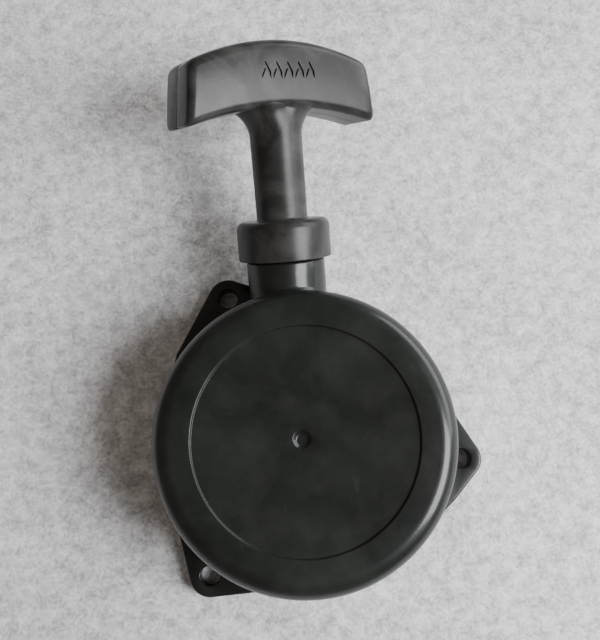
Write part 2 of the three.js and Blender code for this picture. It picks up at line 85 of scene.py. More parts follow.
# Case, in the drum frame
CASE_BASE_RADIUS = 50.0
CASE_TOP_RADIUS = 49.6
SHOULDER = 6.6
WALL = 2.8
DISC_RADIUS = 36.3
DISC_DEPTH = 0.7
DIMPLE_RADIUS = 3.0
DIMPLE_DEPTH = 1.0
DIMPLE_OFFSET = -1.1
DISC_LEVEL = CASE_HEIGHT - DISC_DEPTH
CEILING = DISC_LEVEL - WALL
FLANGE_RADIUS = 52.4
FLANGE_THICKNESS = 6.3
EAR_TIP = 7.3
EAR_HOLE = 3.55
EAR_EDGE = 0.8
HOLE_EDGE = 0.35
# Each ear's bolt hole, and the corners of its sides going anticlockwise, from the flange out, as
# (radius, bearing in degrees)
EARS = [
    ((57.2, -12.1), [(FLANGE_RADIUS, -52.3), (57.9, -27.1)], [(FLANGE_RADIUS, 16.9)]),
    ((59.7, 112.2), [(FLANGE_RADIUS, 86.2)], [(FLANGE_RADIUS, 162.1), (56.6, 139.9)]),
    ((56.7, 228.8), [(FLANGE_RADIUS, 202.3)], [(FLANGE_RADIUS, 252.4)]),
]

# Neck, in the neck frame, and handle, in the handle frame
NECK_RADIUS = 13.75
NECK_BORE = 11.2
NECK_FILLET = 2.4
SEAT_GAP = 0.4
COLLAR_RADIUS = 16.3
COLLAR_HEIGHT = 13.5
STEM_RADIUS = 8.9
STEM_TOP_RADIUS = 9.0
STEM_END = 56.0
FLARE = 10.0
FLARE_LOW = 41.3
FRONT_FLARE = 2.2
FRONT_FLARE_LOW = 50.2
BAR_LOW_WIDTH = 71.6
BAR_HIGH_WIDTH = 66.4
BAR_THICKNESS = 20.9
BAR_END_LOW = 44.9
BAR_ARCH = 50.7
BAR_END_HIGH = 65.2
BAR_TOP = 72.25
ROPE_RADIUS = 1.6
ROPE_BORE = 2.3
POCKET_FLOOR = 61.0
POCKET_RADIUS = 6.2

# Inside the case, as levels above the mounting face and radii about the drum axis
POST_RADIUS = 5.0
POST_END = 6.0
POST_HOLE_RADIUS = 2.8
POST_HOLE_TOP = 27.0
REEL_BORE = 6.8
REEL_LOW = 13.9
REEL_HIGH = 27.2
REEL_RADIUS = 40.0
GROOVE_RADIUS = 23.5
GROOVE_LOW = 16.9
GROOVE_HIGH = 24.2
HUB_RADIUS = 9.0
HUB_TOP = 36.8
CASSETTE_LOW = 30.0
CASSETTE_HIGH = top_of("spring_cassette")
CASSETTE_RADIUS = 36.5
SHEET = 0.8
SCREW_PITCH = 40.6
SCREW_BEARINGS = (30, 150, 270)
SCREW_HEAD_RADIUS = 2.7
SCREW_HEAD_HEIGHT = 1.5
SCREW_SHANK_RADIUS = 1.2
SCREW_END = 35.0
SLEEVE_BORE = 5.3
SLEEVE_RADIUS = 6.5
SLEEVE_LOW = 5.6
SLEEVE_HIGH = 28.4
STOP_BORE = 2.8
STOP_RADIUS = 10.0
STOP_LOW = 4.3
STOP_HIGH = 5.3
HEX_RADIUS = 4.4
SEAT_RADIUS = 5.6
POST_SCREW_RADIUS = 2.5
POST_SCREW_END = 25.0
PAWL_BEARINGS = (0, 180)
PAWL_PIVOT = 13.0
PAWL_LENGTH = 15.0
PAWL_LOW = 9.6
PAWL_HIGH = 13.3
PAWL_EYE = 3.6
PAWL_SWING = 34
NUB = Vector((0.5, -5.0))
NUB_RADIUS = 1.2
PIN_RADIUS = 2.0
PIN_LOW = 9.7
PIN_HIGH = 20.2
GUIDE_TURN = 28
GUIDE_RADIUS = 19.5
GUIDE_LOW = 7.6
GUIDE_THICKNESS = 1.6
KNOT_PITCH = 17.6
REEL_CUT_LOW = 12.0
RELIEF_BEARINGS = (45, 135, 225, 270, 315)
RELIEF_PITCH = 16.4
ROPE_HOLE_LEVEL = 19.0

# ------------ outlines


def arc(centre, radius, start, end, steps=8):
    """Points along an arc, with angles in degrees."""
    angles = (math.radians(start + (end - start) * i / steps) for i in range(steps + 1))
    return [(centre[0] + radius * math.cos(a), centre[1] + radius * math.sin(a)) for a in angles]


def fillet(corners, steps=6, closed=False):
    """An outline of (x, y) or (x, y, radius) corners, with each corner that has a radius rounded."""
    points = []
    count = len(corners)
    for i, corner in enumerate(corners):
        here = Vector(corner[:2])
        if len(corner) < 3 or (not closed and i in (0, count - 1)):
            points.append(tuple(here))
            continue
        before = (Vector(corners[i - 1][:2]) - here).normalized()
        after = (Vector(corners[(i + 1) % count][:2]) - here).normalized()
        half = before.angle(after) / 2
        reach = corner[2] / math.tan(half)
        centre = here + (before + after).normalized() * (corner[2] / math.sin(half))
        first = here + before * reach - centre
        turn = first.angle_signed(here + after * reach - centre)
        for k in range(steps + 1):
            angle = -turn * k / steps
            spoke = Matrix.Rotation(angle, 2) @ first
            points.append(tuple(centre + spoke))
    return points


def circle(radius, count=96, centre=(0, 0)):
    return arc(centre, radius, 0, 360 - 360 / count, count - 1)


def polar(radius, bearing):
    """The point at a radius and a bearing in degrees about the drum axis."""
    return (radius * math.cos(math.radians(bearing)), radius * math.sin(math.radians(bearing)))


def upright(x, y):
    """The drum frame moved so that its axis passes through (x, y)."""
    return Matrix.Translation((x * MM, y * MM, 0))


def helix(radius, low, high, turns, steps=40, centre=(0, 0)):
    count = round(turns * steps)
    points = []
    for i in range(count + 1):
        share = i / count
        x, y = polar(radius, 360 * turns * share)
        points.append((centre[0] + x, centre[1] + y, low + (high - low) * share))
    return points


# ------------ solids


def add_object(name, data):
    added = bpy.data.objects.new(name, data)
    bpy.context.scene.collection.objects.link(added)
    return added


def solid(name, points, faces, place=DRUM):
    """A mesh object from points in millimetres in the given frame, with its faces turned outwards."""
    mesh = bpy.data.meshes.new(name)
    mesh.from_pydata([place @ (Vector(p) * MM) for p in points], [], faces)
    work = bmesh.new()
    work.from_mesh(mesh)
    bmesh.ops.remove_doubles(work, verts=work.verts, dist=1e-7)
    bmesh.ops.recalc_face_normals(work, faces=work.faces)
    work.to_mesh(mesh)
    work.free()
    return add_object(name, mesh)


def revolve(name, profile, place=DRUM, segments=128, closed=False):
    """A profile of (radius, height) pairs turned about the frame's Z."""
    points, rings, faces = [], [], []
    for radius, height in profile:
        count = 1 if radius < 1e-6 else segments
        rings.append((len(points), count))
        for k in range(count):
            angle = TAU * k / segments
            points.append((radius * math.cos(angle), radius * math.sin(angle), height))
    pairs = list(zip(rings, rings[1:]))
    if closed:
        pairs.append((rings[-1], rings[0]))
    for (a, count_a), (b, count_b) in pairs:
        for k in range(segments):
            n = (k + 1) % segments
            if count_a == 1 and count_b == 1:
                break
            if count_a == 1:
                faces.append((a, b + n, b + k))
            elif count_b == 1:
                faces.append((a + k, a + n, b))
            else:
                faces.append((a + k, a + n, b + n, b + k))
    return solid(name, points, faces, place)


def loft(name, rings, place=DRUM):
    """A skin over rings of the same number of points, closed by a flat face at each end."""
    count = len(rings[0])
    points = [p for ring in rings for p in ring]
    faces = [tuple(range(count)), tuple(range(len(points) - count, len(points)))]
    for r in range(len(rings) - 1):
        a, b = r * count, (r + 1) * count
        faces += [(a + k, a + (k + 1) % count, b + (k + 1) % count, b + k) for k in range(count)]
    return solid(name, points, faces, place)


def offset(outline, distance):
    """The closed outline moved inwards by distance, for an outline that runs anticlockwise."""
    moved = []
    count = len(outline)
    for i, here in enumerate(outline):
        along = (Vector(outline[(i + 1) % count]) - Vector(outline[i - 1])).normalized()
        moved.append((here[0] - along.y * distance, here[1] + along.x * distance))
    return moved


def plate(name, outline, low, high, holes=(), edge=0.3, hole_edge=None, place=DRUM):
    """A flat plate with holes, its outer and hole edges rounded. Outlines run anticlockwise."""
    work = bmesh.new()
    quarter = [math.radians(angle) for angle in (90, 60, 35, 15, 0)]
    caps = ([], [])
    loops = [(outline, 1, edge)] + [(hole, -1, hole_edge or edge) for hole in holes]
    for line, side, size in loops:
        lower = [(low + size - size * math.sin(a), size - size * math.cos(a)) for a in quarter]
        levels = lower + [(high + low - z, inset) for z, inset in reversed(lower)]
        rings = []
        for z, inset in levels:
            ring = [work.verts.new((x, y, z)) for x, y in offset(line, inset * side)]
            rings.append(list(zip(ring, ring[1:] + ring[:1])))
        for before, after in zip(rings, rings[1:]):
            for (a, b), (c, d) in zip(before, after):
                work.faces.new((a, b, d, c))
        for cap, ring in zip(caps, (rings[0], rings[-1])):
            cap.extend(work.edges.get(pair) for pair in ring)
    for edges in caps:
        bmesh.ops.triangle_fill(work, use_beauty=True, edges=edges)
    bmesh.ops.recalc_face_normals(work, faces=work.faces)
    mesh = bpy.data.meshes.new(name)
    work.to_mesh(mesh)
    work.free()
    mesh.transform(place @ Matrix.Scale(MM, 4))
    return add_object(name, mesh)


def sweep(name, path, radius, sides=16, place=DRUM):
    """A round wire along a list of points in millimetres."""
    path = [Vector(p) for p in path]
    rings = []
    normal = None
    for i, here in enumerate(path):
        along = (path[min(i + 1, len(path) - 1)] - path[max(i - 1, 0)]).normalized()
        normal = along.orthogonal() if normal is None else normal - along * normal.dot(along)
        normal.normalize()
        across = along.cross(normal)
        spokes = (TAU * k / sides for k in range(sides))
        rings.append([here + (normal * math.cos(a) + across * math.sin(a)) * radius for a in spokes])
    return loft(name, rings, place)


def combine(base, others, operation="UNION"):
    """Joins the others to base, or cuts them from it, and deletes them."""
    for other in others:
        step = base.modifiers.new(operation, "BOOLEAN")
        step.operation = operation
        step.solver = "MANIFOLD"
        step.object = other
        graph = bpy.context.evaluated_depsgraph_get()
        result = bpy.data.meshes.new_from_object(base.evaluated_get(graph))
        base.modifiers.clear()
        base.data = result
        bpy.data.objects.remove(other)
    return base


def cut(base, others):
    return combine(base, others, "DIFFERENCE")


def dress(piece, body, material, nodes, crease=32):
    """Smooth shading up to the crease angle, a material, the body to ride on and the nodes it stands for."""
    work = bmesh.new()
    work.from_mesh(piece.data)
    bmesh.ops.remove_doubles(work, verts=work.verts, dist=2e-6)
    bmesh.ops.dissolve_degenerate(work, dist=2e-6, edges=work.edges)
    work.to_mesh(piece.data)
    work.free()
    piece.data.shade_smooth()
    piece.data.set_sharp_from_angle(angle=math.radians(crease))
    piece.data.materials.clear()
    piece.data.materials.append(material)
    if body:
        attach(piece, body)
    if nodes:
        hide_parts(*nodes)
    return piece


# ------------ materials


class Shader:
    """A material's node tree, with short calls for the nodes that the finishes share."""

    def __init__(self, name):
        self.material = bpy.data.materials.new(name)
        self.material.use_nodes = True
        self.tree = self.material.node_tree
        self.surface = self.tree.nodes["Principled BSDF"]
        self.place = self.tree.nodes.new("ShaderNodeTexCoord").outputs["Object"]

    def set(self, **values):
        for socket, value in values.items():
            self.surface.inputs[socket.replace("_", " ")].default_value = value
        return self

    def feed(self, socket, output):
        self.tree.links.new(output, self.surface.inputs[socket])

    def noise(self, scale, detail=3, rough=0.5, stretch=None, distortion=0):
        """Noise in object space; scale is in features per metre."""
        node = self.tree.nodes.new("ShaderNodeTexNoise")
        node.inputs["Scale"].default_value = scale
        node.inputs["Detail"].default_value = detail
        node.inputs["Roughness"].default_value = rough
        node.inputs["Distortion"].default_value = distortion
        self.tree.links.new(self.stretched(stretch), node.inputs["Vector"])
        return node.outputs["Fac"]

    def stretched(self, stretch):
        if stretch is None:
            return self.place
        node = self.tree.nodes.new("ShaderNodeMapping")
        node.inputs["Scale"].default_value = stretch
        self.tree.links.new(self.place, node.inputs["Vector"])
        return node.outputs["Vector"]

    def ramp(self, value, low, high, start=0.0, end=1.0):
        """value from start..end mapped to low..high, which may be numbers or colours."""
        if isinstance(low, (int, float)):
            node = self.tree.nodes.new("ShaderNodeMapRange")
            node.inputs["From Min"].default_value = start
            node.inputs["From Max"].default_value = end
            node.inputs["To Min"].default_value = low
            node.inputs["To Max"].default_value = high
            self.tree.links.new(value, node.inputs["Value"])
            return node.outputs["Result"]
        node = self.tree.nodes.new("ShaderNodeValToRGB")
        for element, position, colour in zip(node.color_ramp.elements, (start, end), (low, high)):
            element.position = position
            element.color = (*colour, 1)
        self.tree.links.new(value, node.inputs["Fac"])
        return node.outputs["Color"]

    def maths(self, operation, *values):
        node = self.tree.nodes.new("ShaderNodeMath")
        node.operation = operation
        for socket, value in zip(node.inputs, values):
            if isinstance(value, (int, float)):
                socket.default_value = value
            else:
                self.tree.links.new(value, socket)
        return node.outputs["Value"]

    def blend(self, share, first, second):
        """Mix of two colours, each a socket or a tuple."""
        node = self.tree.nodes.new("ShaderNodeMix")
        node.data_type = "RGBA"
        for socket, value in ((node.inputs[0], share), (node.inputs[6], first), (node.inputs[7], second)):
            if isinstance(value, bpy.types.NodeSocket):
                self.tree.links.new(value, socket)
            else:
                socket.default_value = value if isinstance(value, (int, float)) else (*value, 1)
        return node.outputs[2]

    def bump(self, *layers):
        """Bump layers of (height socket, depth in millimetres), one on top of the other."""
        normal = None
        for height, depth in layers:
            node = self.tree.nodes.new("ShaderNodeBump")
            node.inputs["Distance"].default_value = depth * MM
            node.inputs["Strength"].default_value = 1.0
            self.tree.links.new(height, node.inputs["Height"])
            if normal:
                self.tree.links.new(normal, node.inputs["Normal"])
            normal = node.outputs["Normal"]
        self.feed("Normal", normal)
        return self


def nylon(name, dark, light, rough, grain=0.012, dust=0.0, wear=0.0, specular=0.5, coat=0.0):
    """Glass-filled nylon: faint flow mottling, fine moulded grain, polish that varies and light scuffs."""
    paint = Shader(name)
    flow = paint.noise(38, detail=4, distortion=0.6)
    speckle = paint.noise(1500, detail=2)
    tone = paint.ramp(flow, dark, light, 0.35, 0.68)
    streaks = paint.noise(260, detail=3, stretch=(1.0, 0.16, 1.0), distortion=1.2)
    scuff = paint.ramp(streaks, 0.0, 1.0, 0.66, 0.78)
    patch = paint.ramp(paint.noise(55, detail=2), 0.0, 1.0, 0.5, 0.66)
    worn = paint.maths("MULTIPLY", scuff, patch)
    scuffed = paint.blend(paint.maths("MULTIPLY", worn, 0.35), tone, tuple(4 * c for c in light))
    rubbed = paint.ramp(paint.noise(48, detail=4, rough=0.6, distortion=1.4), 0.0, wear, 0.44, 0.64)
    handled = paint.blend(rubbed, scuffed, (0.13, 0.13, 0.125))
    film = paint.ramp(paint.noise(90, detail=5, rough=0.65), 0.0, dust, 0.45, 0.75)
    paint.feed("Base Color", paint.blend(film, handled, (0.16, 0.165, 0.15)))
    polish = paint.maths("ADD", paint.ramp(flow, rough - 0.05, rough + 0.06, 0.3, 0.7),
                         paint.ramp(speckle, -0.03, 0.03))
    paint.feed("Roughness", paint.maths("ADD", polish, paint.maths("MULTIPLY", worn, 0.15)))
    paint.set(Specular_IOR_Level=specular, Coat_Weight=coat, Coat_Roughness=0.16)
    paint.bump((paint.noise(120, detail=2), 0.05), (speckle, grain))
    return paint.material


def steel(name, colour, rough, streak=(1.0, 1.0, 1.0), tint=None):
    """Plated or bare steel, with fine streaks and cloudy stains."""
    paint = Shader(name)
    paint.set(Metallic=1.0)
    cloud = paint.noise(180, detail=4)
    lines = paint.noise(1400, detail=3, stretch=streak)
    paint.feed("Base Color", paint.ramp(cloud, tuple(0.78 * c for c in colour), tint or colour, 0.35, 0.65))
    paint.feed("Roughness", paint.maths("ADD", paint.ramp(lines, rough - 0.08, rough + 0.08, 0.3, 0.7),
                                        paint.ramp(cloud, -0.04, 0.06)))
    paint.bump((lines, 0.006), (cloud, 0.01))
    return paint.material


CASE_NYLON = nylon("case_nylon", (0.005, 0.0068, 0.0058), (0.011, 0.0135, 0.0118), 0.40, dust=0.045,
                   specular=0.2, coat=0.4)
HANDLE_NYLON = nylon("handle_nylon", (0.0135, 0.0135, 0.013), (0.021, 0.021, 0.020), 0.30, wear=0.22,
                     specular=0.22)
REEL_NYLON = nylon("reel_nylon", (0.012, 0.012, 0.013), (0.02, 0.02, 0.021), 0.42)
ACETAL = nylon("white_acetal", (0.55, 0.53, 0.46), (0.64, 0.62, 0.55), 0.38)
ZINC = steel("zinc_steel", (0.62, 0.63, 0.64), 0.32, tint=(0.70, 0.69, 0.62))
SPRING_STEEL = steel("spring_steel", (0.10, 0.12, 0.16), 0.28, streak=(1, 1, 0.05), tint=(0.20, 0.21, 0.24))
STAMPED = steel("stamped_steel", (0.50, 0.50, 0.49), 0.36, tint=(0.60, 0.58, 0.52))
GRIME = (0.22, 0.20, 0.17)


def rope(name, along, level, facing, origin):
    """Braided nylon along one axis: crossing strands in relief, pale with a dark tracer, with painted shade
    darkening the grooves between the strands.
    """
    paint = Shader(name)

    def component(axis):
        node = paint.tree.nodes.new("ShaderNodeVectorMath")
        node.operation = "DOT_PRODUCT"
        offset_node = paint.tree.nodes.new("ShaderNodeVectorMath")
        offset_node.operation = "SUBTRACT"
        offset_node.inputs[1].default_value = origin
        paint.tree.links.new(paint.place, offset_node.inputs[0])
        paint.tree.links.new(offset_node.outputs["Vector"], node.inputs[0])
        node.inputs[1].default_value = axis
        return node.outputs["Value"]

    turn = paint.maths("MULTIPLY", paint.maths("ARCTAN2", component(facing), component(level)), 4)
    run = paint.maths("MULTIPLY", component(along), 1500)
    left = paint.maths("ABSOLUTE", paint.maths("SINE", paint.maths("ADD", turn, run)))
    right = paint.maths("ABSOLUTE", paint.maths("SINE", paint.maths("SUBTRACT", turn, run)))
    relief = paint.maths("MAXIMUM", left, right)
    fibres = paint.noise(5200, detail=2)
    grime = paint.ramp(paint.noise(140, detail=4), 0.0, 0.45, 0.45, 0.7)
    # Painted shade: the braid's colour goes darker where the relief is low, in the grooves between the
    # strands.
    pale = paint.ramp(relief, (0.30, 0.29, 0.26), (0.66, 0.64, 0.59), 0.55, 0.95)
    strand = paint.ramp(paint.maths("SINE", paint.maths("ADD", turn, run)), 0, 1, 0.82, 0.9)
    side = paint.ramp(paint.maths("COSINE", paint.maths("MULTIPLY", turn, 0.25)), 0, 1, 0.3, 0.5)
    traced = paint.blend(paint.maths("MULTIPLY", strand, side), pale, (0.02, 0.03, 0.05))
    paint.feed("Base Color", paint.blend(grime, traced, GRIME))
    paint.set(Roughness=0.78)
    paint.bump((relief, 0.18), (fibres, 0.05))
    return paint.material


def wound_rope(name):
    """The same rope where it bends: strands from noise that follows no one axis, with painted shade
    darkening the low parts between them.
    """
    paint = Shader(name)
    strands = paint.noise(1900, detail=1, distortion=2.0)
    fibres = paint.noise(5200, detail=2)
    grime = paint.ramp(paint.noise(160, detail=4), 0.0, 0.4, 0.45, 0.7)
    # Painted shade: the colour goes darker where the strand noise is low, the same noise that sets the bump.
    pale = paint.ramp(strands, (0.32, 0.31, 0.28), (0.66, 0.64, 0.59), 0.35, 0.55)
    fleck = paint.ramp(paint.noise(900, detail=1), 0, 1, 0.66, 0.70)
    flecked = paint.blend(fleck, pale, (0.03, 0.04, 0.06))
    paint.feed("Base Color", paint.blend(grime, flecked, GRIME))
    paint.set(Roughness=0.8)
    paint.bump((strands, 0.16), (fibres, 0.05))
    return paint.material


LEAD_ROPE = rope("lead_rope", ROPE_AXIS, LEVEL_AXIS, ROPE_AXIS.cross(LEVEL_AXIS), MOUTH)
ROPE = wound_rope("rope")

# ------------ case


def wall_radius(z):
    """Radius of the drafted outer wall at a height."""
    share = z / (CASE_HEIGHT - SHOULDER)
    return CASE_BASE_RADIUS + (CASE_TOP_RADIUS - CASE_BASE_RADIUS) * share


def case_shell():
    """The cup with its disc, shoulder, wall, post and locating ring, in one profile."""
    shoulder_centre = (CASE_TOP_RADIUS - SHOULDER, CASE_HEIGHT - SHOULDER)
    inner_round = SHOULDER - WALL
    rim = FLANGE_RADIUS - 1.2
    locating = CASSETTE_RADIUS + 0.5
    profile = fillet([
        (0, DISC_LEVEL),
        (6.5, DISC_LEVEL),
        (DISC_RADIUS, DISC_LEVEL, 0.25),
        (DISC_RADIUS + 0.5, CASE_HEIGHT, 0.4),
        (shoulder_centre[0], CASE_HEIGHT),
    ])
    profile += arc(shoulder_centre, SHOULDER, 88, 2, 16)
    profile += fillet([
        (CASE_TOP_RADIUS, shoulder_centre[1]),
        (wall_radius(FLANGE_THICKNESS), FLANGE_THICKNESS - 0.4, 0.8),
        (rim, FLANGE_THICKNESS - 0.4),
    ])
    inside = CASE_BASE_RADIUS - WALL
    profile += [(rim, 0.6), (rim - 0.6, 0), (inside + 0.4, 0), (inside, 0.4)]
    profile += arc((shoulder_centre[0], CEILING - inner_round), inner_round, 0, 90, 6)
    profile += fillet([
        (locating + 1.4, CEILING),
        (locating + 1.4, CEILING - 3.6, 0.3),
        (locating, CEILING - 3.6, 0.3),
        (locating, CEILING, 0.3),
        (POST_RADIUS + 2, CEILING, 1.2),
        (POST_RADIUS, CEILING - 8),
        (POST_RADIUS, POST_END, 0.4),
        (POST_HOLE_RADIUS, POST_END),
        (POST_HOLE_RADIUS, POST_HOLE_TOP),
        (0, POST_HOLE_TOP),
    ])
    return revolve("case_shell", profile, segments=256)


def flange_outline():
    """The flange circle with its ears: straight sides from the corners to the tip circles."""
    outline = []
    for i, (hole, before, after) in enumerate(EARS):
        centre = polar(*hole)
        ends = []
        for corner, hand in ((before[-1], 1), (after[-1], -1)):
            x, y = polar(*corner)
            away = math.hypot(x - centre[0], y - centre[1])
            bearing = math.degrees(math.atan2(y - centre[1], x - centre[0]))
            ends.append(bearing + hand * math.degrees(math.acos(EAR_TIP / away)))
        if ends[1] < ends[0]:
            ends[1] += 360
        following = EARS[(i + 1) % len(EARS)][1][0][1] + (360 if i + 1 == len(EARS) else 0)
        outline += [polar(*corner) for corner in before[1:]]
        outline += arc(centre, EAR_TIP, ends[0], ends[1], 20)
        outline += [polar(*corner) for corner in reversed(after[1:])]
        outline += arc((0, 0), FLANGE_RADIUS, after[0][1], following, 24)
    return outline


def ear_plate():
    holes = [circle(EAR_HOLE, 40, polar(*hole)) for hole, _, _ in EARS]
    holes.append(circle(CASE_BASE_RADIUS - 1.2, 192))
    return plate("ear_plate", flange_outline(), 0, FLANGE_THICKNESS, holes, EAR_EDGE, HOLE_EDGE)


def neck_tube():
    """The neck from its mouth down to the wall, where it spreads into a fillet."""
    count = 128
    to_neck = NECK.inverted()

    def in_drum(point):
        return NECK @ (point * MM) / MM

    def in_neck(point):
        return to_neck @ (point * MM) / MM

    spokes = [Vector((math.cos(TAU * k / count), math.sin(TAU * k / count), 0)) for k in range(count)]
    mouth = fillet([(NECK_BORE - 2, -SEAT_GAP), (NECK_RADIUS, -SEAT_GAP, 0.9), (NECK_RADIUS, -6)], 5)
    rings = [[spoke * radius + Vector((0, 0, height)) for spoke in spokes] for radius, height in mouth]
    roots = []
    for spoke in spokes:
        depth = -5.0
        while depth > -25:
            place = in_drum(spoke * NECK_RADIUS + Vector((0, 0, depth)))
            if math.hypot(place.x, place.y) <= wall_radius(place.z):
                break
            depth -= 0.05
        foot = in_drum(spoke * (NECK_RADIUS + NECK_FILLET) + Vector((0, 0, depth)))
        bearing = math.degrees(math.atan2(foot.y, foot.x))
        wall = [in_neck(Vector((*polar(wall_radius(foot.z) - sink, bearing), foot.z))) for sink in (0, 1.3)]
        start = spoke * NECK_RADIUS + Vector((0, 0, depth + NECK_FILLET))
        roots.append((start, in_neck(place), *wall))
    for i in range(9):
        t = i / 8
        rings.append([a * (1 - t) ** 2 + b * 2 * t * (1 - t) + c * t * t for a, b, c, _ in roots])
    rings.append([inside for _, _, _, inside in roots])
    return loft("neck_tube", rings, NECK)


def cassette_boss(bearing):
    """A screw boss under the closed end, with its pilot hole."""
    low = CASSETTE_LOW + SHEET + 0.3
    profile = fillet([(1.5, low), (3, low, 0.3), (3, CEILING + 0.6)], 4)
    profile += [(0, CEILING + 0.6), (0, CEILING - 1.2), (1.5, CEILING - 1.2)]
    return revolve("boss", profile, upright(*polar(SCREW_PITCH, bearing)), 32, closed=True)


def make_case():
    shell = case_shell()
    combine(shell, [ear_plate(), neck_tube()] + [cassette_boss(bearing) for bearing in SCREW_BEARINGS])
    deep, out = -28, 2
    bore = revolve("bore", [(0, deep), (NECK_BORE, deep), (NECK_BORE, out), (0, out)], NECK, 96)
    floor = DISC_LEVEL - DIMPLE_DEPTH
    dimple = revolve("dimple", fillet([
        (0, floor),
        (DIMPLE_RADIUS * 0.6, floor, 0.8),
        (DIMPLE_RADIUS, DISC_LEVEL, 0.4),
        (DIMPLE_RADIUS + 1, DISC_LEVEL + 0.05),
        (DIMPLE_RADIUS + 1, DISC_LEVEL + 1),
        (0, DISC_LEVEL + 1),
    ]), upright(DIMPLE_OFFSET, 0), 64)
    cut(shell, [bore, dimple])
    shell.name = "case_moulding"
    return dress(shell, "case", CASE_NYLON, ["starter_case"], 30)


def make_eyelet():
    """The flared bush that the rope runs through."""
    low, high, flare, hole = -14.2, -1.2, 3.4, 2.6
    radius = NECK_BORE - 0.3
    profile = [(radius, low + 0.5), (radius, high - 0.5), (radius - 0.5, high)]
    profile += arc((hole + flare, high - flare), flare, 90, 180, 14)
    profile += arc((hole + flare, low + flare), flare, 180, 270, 14) + [(radius - 0.5, low)]
    bush = revolve("eyelet_bush", profile, NECK, 96, closed=True)
    return dress(bush, "case", ACETAL, ["rope_guide"], 40)


# ------------ recoil spring and its cassette


def make_cassette():
    """A pressed sheet pan with a rolled rim, two stiffening beads and three screw lugs."""
    bottom, bend, hole = CASSETTE_LOW, 1.1, HUB_RADIUS + 1.6
    foot, crest, rise = 1.6, 0.8, 0.25
    beads = []
    for radius in (29.0, 18.0):
        beads += [(radius + foot, bottom), (radius + crest, bottom + rise)]
        beads += [(radius - crest, bottom + rise), (radius - foot, bottom)]
    outer = [(CASSETTE_RADIUS, CASSETTE_HIGH), (CASSETTE_RADIUS, bottom + bend)]
    outer += arc((CASSETTE_RADIUS - bend, bottom + bend), bend, 0, -90, 5)
    outer += beads + [(hole, bottom)]
    inner = [(radius, height + SHEET) for radius, height in reversed(beads)]
    inner = [(hole, bottom + SHEET)] + inner + [
        (CASSETTE_RADIUS - 1.6, bottom + SHEET),
        (CASSETTE_RADIUS - SHEET, bottom + 1.6),
        (CASSETTE_RADIUS - SHEET, CASSETTE_HIGH),
    ]
    pan = revolve("spring_pan", outer + inner, DRUM, 160, closed=True)
    half_width = 3.4
    line = [(CASSETTE_RADIUS - 2, -half_width)]
    line += arc((SCREW_PITCH, 0), half_width, -90, 90, 14) + [(CASSETTE_RADIUS - 2, half_width)]
    screw_hole = circle(1.6, 20, (SCREW_PITCH, 0))
    lugs = []
    for bearing in SCREW_BEARINGS:
        turn = Matrix.Rotation(math.radians(bearing), 4, "Z")
        lugs.append(plate("lug", line, bottom, bottom + SHEET, [screw_hole], 0.12, place=turn))
    combine(pan, lugs)
    return dress(pan, "case", ZINC, ["spring_cassette"], 30)


def cross_recess(place, height, reach, depth):
    """Cutter for a cross recess, cut upwards from height."""
    arms = []
    for turn in (0, 90):
        line = [(-reach, -0.32), (reach, -0.32), (reach, 0.32), (-reach, 0.32)]
        spin = place @ Matrix.Rotation(math.radians(turn), 4, "Z")
        arms.append(loft("arm", [[(x, y, height - 1) for x, y in line],
                                 [(x * 0.55, y, height + depth) for x, y in line]], spin))
    return arms


def make_cassette_screws():
    for number, bearing in enumerate(SCREW_BEARINGS, 1):
        place = upright(*polar(SCREW_PITCH, bearing))
        seat = CASSETTE_LOW - 0.3
        dome = arc((0, 0), SCREW_HEAD_RADIUS, -90, -12, 8)
        crown = seat - SCREW_HEAD_HEIGHT
        head = [(radius, crown + (height + SCREW_HEAD_RADIUS) * 0.6) for radius, height in dome]
        thread = []
        level = seat + 0.2
        while level < SCREW_END - 0.4:
            thread += [(SCREW_SHANK_RADIUS, level), (SCREW_SHANK_RADIUS - 0.25, level + 0.25)]
            level += 0.5
        neck = [(SCREW_HEAD_RADIUS, seat), (SCREW_SHANK_RADIUS, seat)]
        tip = [(SCREW_SHANK_RADIUS / 2, SCREW_END), (0, SCREW_END)]
        screw = revolve("screw", head + neck + thread + tip, place, 32)
        cut(screw, cross_recess(place, crown, 1.5, 0.9))
        screw.name = f"pan_screw_{number}"
        dress(screw, "case", ZINC, [f"cassette_screw_{number}"], 40)


def make_recoil_spring():
    """Flat strip wound in a spiral round the hub."""
    inner, outer = HUB_RADIUS + 1, CASSETTE_RADIUS - SHEET - 1.3
    turns, half = 7, 0.3
    low = CASSETTE_LOW + SHEET + 0.3
    high = low + 5.8
    line = []
    count = turns * 48
    for i in range(count + 1):
        share = i / count
        bearing = 360 * turns * share
        line.append((*polar(inner + (outer - inner) * share, bearing), polar(1, bearing)))
    rings = []
    for x, y, out in line:
        near, far = (x - out[0] * half, y - out[1] * half), (x + out[0] * half, y + out[1] * half)
        rings.append([(*far, low), (*far, high), (*near, high), (*near, low)])
    spring = loft("clock_spring", rings)
    return dress(spring, "case", SPRING_STEEL, ["recoil_spring"], 50)


# ------------ post hardware


def turned_ring(name, bore, radius, low, high, edges, place=DRUM, segments=64, steps=3):
    """A ring with its four edges rounded, in the order inner low, outer low, outer high, inner high."""
    corners = [(bore, low), (radius, low), (radius, high), (bore, high)]
    rounded = [(*corner, edge) for corner, edge in zip(corners, edges)]
    return revolve(name, fillet(rounded, steps, closed=True), place, segments, closed=True)


